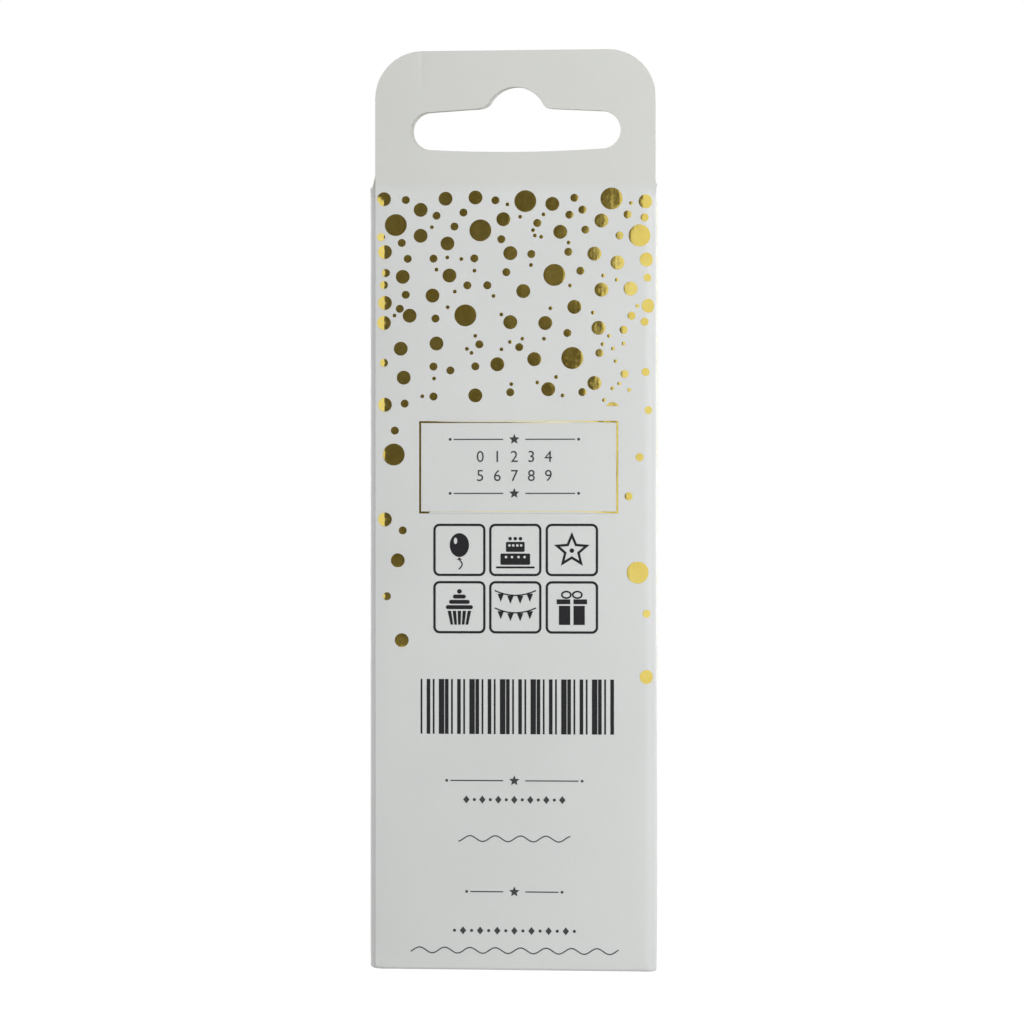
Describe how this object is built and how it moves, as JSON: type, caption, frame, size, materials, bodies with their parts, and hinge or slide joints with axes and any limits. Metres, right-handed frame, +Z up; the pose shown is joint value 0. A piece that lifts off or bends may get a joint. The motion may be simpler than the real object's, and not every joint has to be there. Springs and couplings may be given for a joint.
{
  "type": "packed number candle",
  "caption": "Wax numeral candle with wick and pick, held by a card insert in a slim hanging paperboard carton with a slotted double tab, tuck flaps and a clear window.",
  "frame": {"origin": "middle of the carton's base", "axes": "+Z up towards the hang tab, -Y out of the plain back panel, +Y out of the window side, +X to the right as seen from the back"},
  "size_m": [0.0446, 0.018, 0.1424],
  "materials": {
    "printed_board": "satin",
    "board_liner": "matte",
    "insert_card": "matte",
    "film": "gloss",
    "gold_wax": "satin",
    "wick_cotton": "matte",
    "pick_plastic": "satin"
  },
  "bodies": {
    "carton": {"back_panel": "printed_board", "fifth_panel": "board_liner", "left_side_panel": "printed_board", "right_side_panel": "printed_board", "front_panel": "printed_board", "window_film": "film", "insert_card": "insert_card", "candle_body": "gold_wax", "wick": "wick_cotton", "pick": "pick_plastic"},
    "top_lid": {"top_lid": "printed_board"},
    "top_tuck": {"top_tuck_flap": "printed_board"},
    "top_dust_left": {"top_dust_flap_left": "board_liner"},
    "top_dust_right": {"top_dust_flap_right": "board_liner"},
    "bottom_lid": {"bottom_lid": "printed_board"},
    "bottom_tuck": {"bottom_tuck_flap": "printed_board"},
    "bottom_dust_left": {"bottom_dust_flap_left": "board_liner"},
    "bottom_dust_right": {"bottom_dust_flap_right": "board_liner"}
  },
  "joints": [
    {"name": "top_lid_crease", "type": "hinge", "parent": "carton", "child": "top_lid", "pos_m": [0, 0.009, 0.1214], "axis": [-1, 0, 0], "range_deg": [0, 180]},
    {"name": "top_tuck_crease", "type": "hinge", "parent": "top_lid", "child": "top_tuck", "pos_m": [0, -0.0079, 0.12065], "axis": [1, 0, 0], "range_deg": [0, 25]},
    {"name": "top_dust_left_crease", "type": "hinge", "parent": "carton", "child": "top_dust_left", "pos_m": [-0.0219, 0, 0.1205], "axis": [0, 1, 0], "range_deg": [0, 75]},
    {"name": "top_dust_right_crease", "type": "hinge", "parent": "carton", "child": "top_dust_right", "pos_m": [0.0219, 0, 0.1205], "axis": [0, -1, 0], "range_deg": [0, 75]},
    {"name": "bottom_lid_crease", "type": "hinge", "parent": "carton", "child": "bottom_lid", "pos_m": [0, -0.009, 0], "axis": [-1, 0, 0], "range_deg": [0, 180]},
    {"name": "bottom_tuck_crease", "type": "hinge", "parent": "bottom_lid", "child": "bottom_tuck", "pos_m": [0, 0.0083, 0.00075], "axis": [1, 0, 0], "range_deg": [0, 25]},
    {"name": "bottom_dust_left_crease", "type": "hinge", "parent": "carton", "child": "bottom_dust_left", "pos_m": [-0.0219, 0, 0.0009], "axis": [0, -1, 0], "range_deg": [0, 75]},
    {"name": "bottom_dust_right_crease", "type": "hinge", "parent": "carton", "child": "bottom_dust_right", "pos_m": [0.0219, 0, 0.0009], "axis": [0, 1, 0], "range_deg": [0, 75]}
  ]
}
